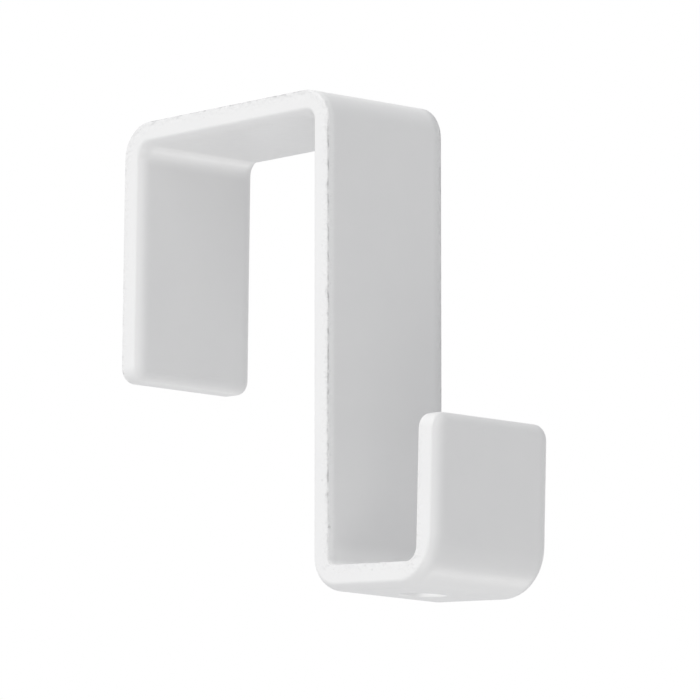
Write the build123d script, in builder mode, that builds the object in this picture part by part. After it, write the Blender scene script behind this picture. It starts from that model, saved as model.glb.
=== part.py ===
import os
from math import radians, sqrt, tan

from build123d import *

# A picture hook that hangs over the top of a panel: one strap of steel, stamped to length, bent four times and
# powder coated. Sizes are in millimetres and over the coating, angles in degrees.
# +Z is up, the tip faces -Y, and the origin is the middle of the seat that rests on the panel's top edge.

# The strap
strap_width = 19.5
strap_thickness = 3.2
end_corner_radius = 2.0

# The saddle over the panel: back leg, seat and front plate. The leg opens outwards a little towards its end.
panel_gap = 32.0
leg_drop = 30.0
leg_splay = 1.0
plate_height = 63.1

# The cradle that takes the picture's wire: a floor that falls towards the front, and an upturned tip
cradle_gap = 15.7
floor_fall = 3.4
tip_height = 21.5
tip_lean = 1.8

# The bends' radii. Bending draws the steel thinner, which leaves the outside of a bend rounder than its inside.
top_back_inside = 1.4
top_back_outside = 4.5
top_front_inside = 0.8
top_front_outside = 4.4
bottom_back_inside = 0.9
bottom_back_outside = 4.5
bottom_front_inside = 1.8
bottom_front_outside = 6.2

# The edges that the stamping press leaves: drawn over in a wide roll on the strap's one face, nearly sharp on the
# other. The roll turns down by 45 degrees and then breaks to the strap's side.
rolled_edge_radius = 2.2
rolled_break_radius = 0.5
sheared_edge_radius = 0.3

# The round hole in the middle of the cradle's floor, punched from the rolled face
hole_diameter = 5.9
hole_rolled_radius = 0.3
hole_sheared_radius = 0.2

# Sizes that follow from these
plate_drop = plate_height - strap_thickness
floor_run = cradle_gap + 2 * strap_thickness
rolled_slope = 1.05 * (rolled_edge_radius + rolled_break_radius) * tan(radians(45 / 2))
tolerance = 1e-4


def of_length(edges, length):
    return edges.filter_by(lambda edge: abs(edge.length - length) < tolerance)


def seat_rims(strap):
    """The edges along the seat and the top above it, which alone run along Y, in pairs from the lowest up."""
    return strap.edges().filter_by(Axis.Y).group_by(Axis.Z)


def hole_rims(strap):
    """The circles about the hole's axis, the lowest first."""
    circles = strap.edges().filter_by(GeomType.CIRCLE)
    return circles.filter_by(lambda circle: abs(circle.arc_center.X) < tolerance).sort_by(Axis.Z)


with BuildPart() as strap_hook:
    # Side view: the rolled face, inside the saddle and under the cradle, is drawn with square corners. The
    # sheared face lies one thickness beside it. Then both sides of each bend are rounded.
    with BuildSketch(Plane.YZ) as profile:
        with BuildLine():
            seat = Line((panel_gap / 2, 0), (-panel_gap / 2, 0))
            PolarLine(seat @ 0, leg_drop, -90 + leg_splay)
            plate = Line(seat @ 1, (-panel_gap / 2, -plate_drop))
            floor = PolarLine(plate @ 1, floor_run, 180 + floor_fall)
            PolarLine(floor @ 1, tip_height, 90 + tip_lean)
            offset(amount=strap_thickness, side=Side.RIGHT, kind=Kind.INTERSECTION)
        make_face()
        for corner, rolled_radius, sheared_radius in (
            (seat @ 0, top_back_inside, top_back_outside),
            (seat @ 1, top_front_inside, top_front_outside),
            (floor @ 0, bottom_back_outside, bottom_back_inside),
            (floor @ 1, bottom_front_outside, bottom_front_inside),
        ):
            fillet(profile.vertices().sort_by_distance(corner)[1], sheared_radius)
            fillet(profile.vertices().sort_by_distance(corner)[0], rolled_radius)
    extrude(amount=strap_width / 2, both=True)

    # The stamped ends have rounded corners
    fillet(of_length(strap_hook.edges().filter_by(GeomType.LINE), strap_thickness), end_corner_radius)

    # Edges of the two faces. Each is picked beside the seat, and the edges tangent to it, right round the strap,
    # follow. The roll starts as a slope, which is rounded where it breaks to the side and where it leaves the face.
    fillet(seat_rims(strap_hook)[-1], sheared_edge_radius)
    chamfer(seat_rims(strap_hook)[0], rolled_slope / sqrt(2))
    fillet(seat_rims(strap_hook)[1], rolled_break_radius)
    fillet(seat_rims(strap_hook)[0], rolled_edge_radius)

    # The hole goes through the middle of the floor's flat underside, which is the lowest flat face
    underside = strap_hook.faces().filter_by(GeomType.PLANE).sort_by(Axis.Z)[0]
    with Locations(underside):
        Hole(hole_diameter / 2, depth=2 * strap_thickness)
    fillet(hole_rims(strap_hook)[0], hole_rolled_radius)
    fillet(hole_rims(strap_hook)[-1], hole_sheared_radius)

os.makedirs("parts", exist_ok=True)
strap_hook.part.label = "strap_hook"
export_step(strap_hook.part, "parts/strap_hook.step")
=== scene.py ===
import math

import bmesh
import bpy
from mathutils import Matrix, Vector


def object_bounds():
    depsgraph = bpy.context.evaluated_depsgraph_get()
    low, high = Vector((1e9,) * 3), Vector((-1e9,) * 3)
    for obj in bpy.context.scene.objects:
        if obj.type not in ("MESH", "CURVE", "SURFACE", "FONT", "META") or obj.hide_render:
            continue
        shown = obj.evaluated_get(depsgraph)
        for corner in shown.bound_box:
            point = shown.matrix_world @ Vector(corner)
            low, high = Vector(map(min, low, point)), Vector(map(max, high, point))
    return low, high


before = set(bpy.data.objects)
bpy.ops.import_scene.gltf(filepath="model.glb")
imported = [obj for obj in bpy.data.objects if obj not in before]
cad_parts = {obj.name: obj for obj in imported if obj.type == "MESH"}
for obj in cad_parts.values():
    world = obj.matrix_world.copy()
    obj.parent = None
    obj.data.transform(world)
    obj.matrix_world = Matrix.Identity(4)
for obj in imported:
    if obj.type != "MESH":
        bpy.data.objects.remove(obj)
cad_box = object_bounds()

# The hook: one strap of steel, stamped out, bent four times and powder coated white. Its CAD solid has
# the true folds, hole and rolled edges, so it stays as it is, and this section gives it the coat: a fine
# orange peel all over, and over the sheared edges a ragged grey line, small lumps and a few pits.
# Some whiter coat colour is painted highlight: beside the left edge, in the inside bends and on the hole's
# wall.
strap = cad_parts["strap_hook"]
coat_white = (0.80, 0.80, 0.80, 1)
coat_shade = (0.77, 0.77, 0.775, 1)
# The white of the painted highlights
highlight_white = (0.95, 0.95, 0.95, 1)
thin_grey = (0.20, 0.20, 0.205, 1)


def add_node(tree, kind, inputs, **settings):
    """A new node. Each input is given a value, or an output of another node to link to."""
    made = tree.nodes.new(kind)
    for name, value in settings.items():
        setattr(made, name, value)
    for name, value in inputs.items():
        if isinstance(value, bpy.types.NodeSocket):
            tree.links.new(value, made.inputs[name])
        else:
            made.inputs[name].default_value = value
    return made


def work_out(tree, operation, first, second=0):
    """A sum on two numbers, or on the first alone."""
    return add_node(tree, "ShaderNodeMath", {0: first, 1: second}, operation=operation).outputs[0]


def times(tree, first, *others):
    """All the numbers multiplied."""
    for other in others:
        first = work_out(tree, "MULTIPLY", first, other)
    return first


def measure(tree, operation, first, second=(0, 0, 0)):
    """A sum on two places or directions, or on the first alone: the outputs Vector and Value."""
    return add_node(tree, "ShaderNodeVectorMath", {0: first, 1: second}, operation=operation).outputs


def blend(tree, share, first, second):
    """A mix of two colours, all the first where the share is 0 and all the second where it is 1."""
    return add_node(tree, "ShaderNodeMix", {0: share, 6: first, 7: second}, data_type="RGBA").outputs[2]


def fade(tree, value, span, at_start, at_end):
    """A smooth change from at_start to at_end while the value goes from the span's start to its end."""
    start, end = span
    inputs = {"Value": value, "From Min": start, "From Max": end, "To Min": at_start, "To Max": at_end}
    return add_node(tree, "ShaderNodeMapRange", inputs, interpolation_type="SMOOTHSTEP").outputs[0]


def mottle(tree, place, spots, detail):
    """Cloudy noise from 0 to 1, with that many spots to the metre."""
    inputs = {"Vector": place, "Scale": spots, "Detail": detail}
    return add_node(tree, "ShaderNodeTexNoise", inputs).outputs["Fac"]


# How far a place is in from the strap's nearer side, and how far below its sheared face. That face's
# corners in side view run from the end of the back leg to the end of the tip: Y, Z and the bend's radius.
sheared_corners = (
    (0.01972, -0.02994, 0),
    (0.01914, 0.00320, 0.0045),
    (-0.01920, 0.00320, 0.0044),
    (-0.01920, -0.05689, 0.0009),
    (-0.03497, -0.05782, 0.0018),
    (-0.03554, -0.03962, 0),
)
# A smooth minimum lowers the distance in a corner's middle by a sixth of its span. With this span for
# each metre of radius, it lowers the distance there by as much as the round bend does.
corner_span = 6 * (1 - math.cos(math.radians(45)))
without_x = (0, 1, 1)
edge_group = bpy.data.node_groups.new("sheared_edge", "ShaderNodeTree")
edge_group.interface.new_socket("In From Side", in_out="OUTPUT", socket_type="NodeSocketFloat")
edge_group.interface.new_socket("Below Face", in_out="OUTPUT", socket_type="NodeSocketFloat")
place = add_node(edge_group, "ShaderNodeTexCoord", {}).outputs["Object"]
across = add_node(edge_group, "ShaderNodeSeparateXYZ", {0: place}).outputs["X"]
across = work_out(edge_group, "ABSOLUTE", across)
in_from_side = work_out(edge_group, "SUBTRACT", cad_box[1].x, across)
side_view = measure(edge_group, "MULTIPLY", place, without_x)["Vector"]
below_face = None
for (start_y, start_z, radius), (end_y, end_z, _) in zip(sheared_corners, sheared_corners[1:]):
    start = Vector((0, start_y, start_z))
    run = Vector((0, end_y, end_z)) - start
    gone = measure(edge_group, "SUBTRACT", side_view, start)["Vector"]
    share = measure(edge_group, "DOT_PRODUCT", gone, run / run.length_squared)["Value"]
    share = add_node(edge_group, "ShaderNodeClamp", {0: share}).outputs[0]
    along = measure(edge_group, "MULTIPLY", share, run)["Vector"]
    away = measure(edge_group, "DISTANCE", gone, along)["Value"]
    if below_face is not None:
        corner = {0: below_face, 1: away, 2: corner_span * radius}
        away = add_node(edge_group, "ShaderNodeMath", corner, operation="SMOOTH_MIN").outputs[0]
    below_face = away
add_node(edge_group, "NodeGroupOutput", {0: in_from_side, 1: below_face})

coat = bpy.data.materials.new("white_powder_coat")
coat.use_nodes = True
tree = coat.node_tree
shader = tree.nodes["Principled BSDF"]
place = add_node(tree, "ShaderNodeTexCoord", {}).outputs["Object"]
axes = add_node(tree, "ShaderNodeSeparateXYZ", {0: place}).outputs
side_view = measure(tree, "MULTIPLY", place, without_x)["Vector"]
edge = add_node(tree, "ShaderNodeGroup", {}, node_tree=edge_group).outputs
in_from_side = edge["In From Side"]
below_face = edge["Below Face"]
both = add_node(tree, "ShaderNodeCombineXYZ", {0: in_from_side, 1: below_face}).outputs[0]
from_edge = measure(tree, "LENGTH", both)["Value"]

# The grey line, where the coat is thin over the edge, wanders and is dark in short stretches only. It ends
# at the top front bend, is faint near the cradle's floor and doesn't reach the tip.
line_inset = 0.00014
line_half = 0.00015
line_depth = (0.00025, 0.0006)
line_wander = 0.00030
wander_spots = 900
wander_middle = 0.5
stretch_spots = 620
stretch_levels = (0.42, 0.64)
stretch_grey = (0.20, 0.65)
front_bend = (0, -0.0192, 0.0032)
clear_of_bend = (0.0035, 0.0055)
near_floor = (-0.054, -0.044)
near_floor_grey = 0.35
short_of_tip = (-0.034, -0.030)
wander = work_out(tree, "SUBTRACT", mottle(tree, place, wander_spots, detail=3), wander_middle)
wander = work_out(tree, "MULTIPLY", wander, line_wander)
off_line = work_out(tree, "SUBTRACT", in_from_side, line_inset)
off_line = work_out(tree, "ABSOLUTE", work_out(tree, "SUBTRACT", off_line, wander))
stretches = mottle(tree, place, stretch_spots, detail=4)
from_bend = measure(tree, "DISTANCE", side_view, front_bend)["Value"]
line = times(
    tree,
    fade(tree, off_line, (0, line_half), 1, 0),
    fade(tree, below_face, line_depth, 1, 0),
    fade(tree, stretches, stretch_levels, *stretch_grey),
    fade(tree, from_bend, clear_of_bend, 0, 1),
    fade(tree, axes["Z"], near_floor, near_floor_grey, 1),
    fade(tree, axes["Y"], short_of_tip, 0, 1),
)

# Pits sit in a few of the cells beside the edge
pit_spacing = 0.0030
pit_rim = (0.02, 0.09)
pit_rarity = 0.75
pit_reach = (0.0006, 0.0014)
pit_grey = 0.25
pit_depth = 0.00008
cells = add_node(tree, "ShaderNodeTexVoronoi", {"Vector": place, "Scale": 1 / pit_spacing}).outputs
picked = add_node(tree, "ShaderNodeSeparateXYZ", {0: cells["Color"]}).outputs["X"]
pit = times(
    tree,
    fade(tree, cells["Distance"], pit_rim, 1, 0),
    work_out(tree, "GREATER_THAN", picked, pit_rarity),
    fade(tree, from_edge, pit_reach, 1, 0),
)

# The coat's tone varies a little; a painted highlight whitens it beside the sheared edge on the lit left
# side
tone_spots = 160
edge_highlight_strength = 0.35
edge_highlight_start = (0.0001, 0.0003)
edge_highlight_end = (0.0007, 0.0013)
edge_highlight_depth = (0.0002, 0.0008)
left_half = (-0.002, 0.002)
tone = blend(tree, mottle(tree, place, tone_spots, detail=3), coat_white, coat_shade)
painted_edge_highlight = times(
    tree,
    fade(tree, in_from_side, edge_highlight_end, edge_highlight_strength, 0),
    fade(tree, in_from_side, edge_highlight_start, 0, 1),
    fade(tree, below_face, edge_highlight_depth, 1, 0),
    fade(tree, axes["X"], left_half, 1, 0),
)
tone = blend(tree, painted_edge_highlight, tone, highlight_white)
grey = work_out(tree, "MAXIMUM", line, work_out(tree, "MULTIPLY", pit, pit_grey))
colour = blend(tree, grey, tone, thin_grey)

# Painted highlights whiten the coat in the inside bends. The saddle's two lie alike in front and behind,
# and in the cradle's two they reach further from the corner.
bend_highlight_strength = 0.6
bend_highlight_off_side = (0.0004, 0.0020)
saddle_bend = (0, 0.0157, 0)
saddle_highlight_reach = (0.0007, 0.0024)
cradle_bends = ((0, -0.0192, -0.0569), (0, -0.0350, -0.0578))
cradle_highlight_reach = (0.0007, 0.0034)
cradle_highlight_depth = (0.0005, 0.0015)
off_side = fade(tree, in_from_side, bend_highlight_off_side, 0, 1)
either_bend = measure(tree, "ABSOLUTE", side_view)["Vector"]
from_bend = measure(tree, "DISTANCE", either_bend, saddle_bend)["Value"]
painted_bend_highlight = times(tree, fade(tree, from_bend, saddle_highlight_reach, bend_highlight_strength, 0), off_side)
colour = blend(tree, painted_bend_highlight, colour, highlight_white)
in_cradle = times(tree, fade(tree, below_face, cradle_highlight_depth, 1, 0), off_side)
for bend in cradle_bends:
    from_bend = measure(tree, "DISTANCE", side_view, bend)["Value"]
    painted_bend_highlight = times(tree, fade(tree, from_bend, cradle_highlight_reach, bend_highlight_strength, 0), in_cradle)
    colour = blend(tree, painted_bend_highlight, colour, highlight_white)

# A painted highlight whitens the hole's wall too, except towards the back left, where the wall faces away
# from the key light and stays in shade
hole_radius = 0.00295
hole_rim = 0.0002
hole_place = (0, -0.02606, -0.05884)
hole_axis = (0, -0.0593, 0.9982)
shaded_way = (-0.73, 0.67, 0)
shaded_side = (-0.0005, 0.0012)
from_centre = measure(tree, "SUBTRACT", place, hole_place)["Vector"]
from_axis = measure(tree, "CROSS_PRODUCT", from_centre, hole_axis)["Vector"]
from_axis = measure(tree, "LENGTH", from_axis)["Value"]
toward_shaded_side = measure(tree, "DOT_PRODUCT", from_centre, shaded_way)["Value"]
painted_hole_highlight = times(
    tree,
    fade(tree, from_axis, (hole_radius, hole_radius + hole_rim), 1, 0),
    fade(tree, toward_shaded_side, shaded_side, 1, 0),
)
tree.links.new(blend(tree, painted_hole_highlight, colour, highlight_white), shader.inputs["Base Color"])

# Relief: the orange peel, which varies the gloss too, the coat's shoulder beside the edges, the lumps and
# the pits
peel_size = 0.0011
peel_height = 0.000010
peel_levels = (0.3, 0.7)
peel_roughness = (0.33, 0.41)
shoulder_width = 0.0014
shoulder_drop = 0.00030
shoulder_curve = 1.5
shoulder_depth = (0.0004, 0.0026)
lump_size = 0.00055
lump_height = 0.00007
lump_levels = (0.42, 0.75)
lump_reach = (0, 0.0016)
peel = mottle(tree, place, 1 / peel_size, detail=2)
tree.links.new(fade(tree, peel, peel_levels, *peel_roughness), shader.inputs["Roughness"])
relief = work_out(tree, "MULTIPLY", peel, peel_height)
slope = {"Value": in_from_side, "From Max": shoulder_width, "To Min": 1, "To Max": 0}
shoulder = add_node(tree, "ShaderNodeMapRange", slope).outputs[0]
shoulder = work_out(tree, "POWER", shoulder, shoulder_curve)
shoulder = work_out(tree, "SUBTRACT", 1, shoulder)
shoulder = times(tree, shoulder, fade(tree, below_face, shoulder_depth, shoulder_drop, 0))
lumps = mottle(tree, place, 1 / lump_size, detail=2)
lumps = fade(tree, lumps, lump_levels, 0, lump_height)
lumps = times(tree, lumps, fade(tree, from_edge, lump_reach, 1, 0))
pits = work_out(tree, "MULTIPLY", pit, -pit_depth)
for height in (shoulder, lumps, pits):
    relief = work_out(tree, "ADD", relief, height)
bump = add_node(tree, "ShaderNodeBump", {"Strength": 1, "Distance": 1, "Height": relief})
tree.links.new(bump.outputs[0], shader.inputs["Normal"])
strap.data.materials.clear()
strap.data.materials.append(coat)

# The floor: a wide, flat studio floor, painted a pale matt grey-white. The hook hangs high above it, and
# the camera looks up and doesn't see it, as in the photo. It throws soft light up at the hook.
floor_drop = 1.6
floor_half = 30.0
floor_white = (0.8, 0.8, 0.8, 1)
floor_roughness = 0.9
floor_mesh = bpy.data.meshes.new("floor")
shape = bmesh.new()
bmesh.ops.create_grid(shape, x_segments=1, y_segments=1, size=floor_half)
bmesh.ops.translate(shape, verts=shape.verts, vec=(0, 0, -floor_drop))
shape.to_mesh(floor_mesh)
shape.free()
floor = bpy.data.objects.new("floor", floor_mesh)
bpy.context.scene.collection.objects.link(floor)
floor_paint = bpy.data.materials.new("floor_paint")
floor_paint.use_nodes = True
paint_inputs = floor_paint.node_tree.nodes["Principled BSDF"].inputs
paint_inputs["Base Color"].default_value = floor_white
paint_inputs["Roughness"].default_value = floor_roughness
floor_mesh.materials.append(floor_paint)

# Light: a white studio, brighter above, behind and to the left, which the camera sees as pure white. A
# softbox on the left gives the key light, a second one fills from low on the left, and a small one puts
# a glint in the bends.
room_level = 0.560
room_lean = (-0.25, 0.233, 0.369)
room_white = (0.992, 0.998, 1.012, 1)
backdrop_level = 1
backdrop_white = (1, 1, 1, 1)
world = bpy.data.worlds.new("studio")
world.use_nodes = True
bpy.context.scene.world = world
tree = world.node_tree
background = tree.nodes["Background"]
way = add_node(tree, "ShaderNodeTexCoord", {}).outputs["Generated"]
lean = measure(tree, "DOT_PRODUCT", way, room_lean)["Value"]
level = work_out(tree, "ADD", lean, room_level)
ray = add_node(tree, "ShaderNodeLightPath", {}).outputs
seen = work_out(tree, "ADD", ray["Is Camera Ray"], ray["Is Glossy Ray"])
seen = work_out(tree, "ADD", seen, ray["Is Transmission Ray"])
levels = {"Value": seen, "To Min": level, "To Max": backdrop_level}
tree.links.new(add_node(tree, "ShaderNodeMapRange", levels).outputs[0], background.inputs["Strength"])
tree.links.new(blend(tree, seen, room_white, backdrop_white), background.inputs["Color"])

# Each softbox: its name, place, width in metres and power in watts
softboxes = (
    ("key_left", (-1.149, -0.010, 0.936), 1.0, 7.9),
    ("low_fill", (-0.750, -0.760, -1.089), 1.0, 4.4),
    ("low_glint", (1.040, -0.080, -1.107), 0.6, 2.1),
)
lamp_white = (1.0, 0.985, 0.955)
lamp_aim = Vector((0.0, -0.010, -0.028))
for name, spot, width, power in softboxes:
    lamp = bpy.data.lights.new(name, "AREA")
    lamp.shape = "SQUARE"
    lamp.size = width
    lamp.energy = power
    lamp.color = lamp_white
    softbox = bpy.data.objects.new(name, lamp)
    softbox.location = spot
    softbox.rotation_euler = (Vector(spot) - lamp_aim).to_track_quat("Z", "Y").to_euler()
    bpy.context.scene.collection.objects.link(softbox)

# Camera: below and to the left of the hook, looking up at it through a long lens from about a metre away,
# so that the leg's inside, the plate, the tip and the floor's underside all show.
view_azimuth = math.radians(-42.632)
view_elevation = math.radians(-8.871)
view_distance = 0.9746
view_centre = Vector((0.001414, -0.011181, -0.028047))
film_width = 36.0
lens_share = 11.1137
back = Vector((
    math.sin(view_azimuth) * math.cos(view_elevation),
    -math.cos(view_azimuth) * math.cos(view_elevation),
    math.sin(view_elevation),
))
lens = bpy.data.cameras.new("camera")
lens.sensor_width = film_width
lens.lens = lens_share * film_width
camera = bpy.data.objects.new("camera", lens)
camera.location = view_centre + back * view_distance
camera.rotation_euler = back.to_track_quat("Z", "Y").to_euler()
bpy.context.scene.collection.objects.link(camera)
bpy.context.scene.camera = camera
bpy.context.scene.view_settings.view_transform = "Standard"
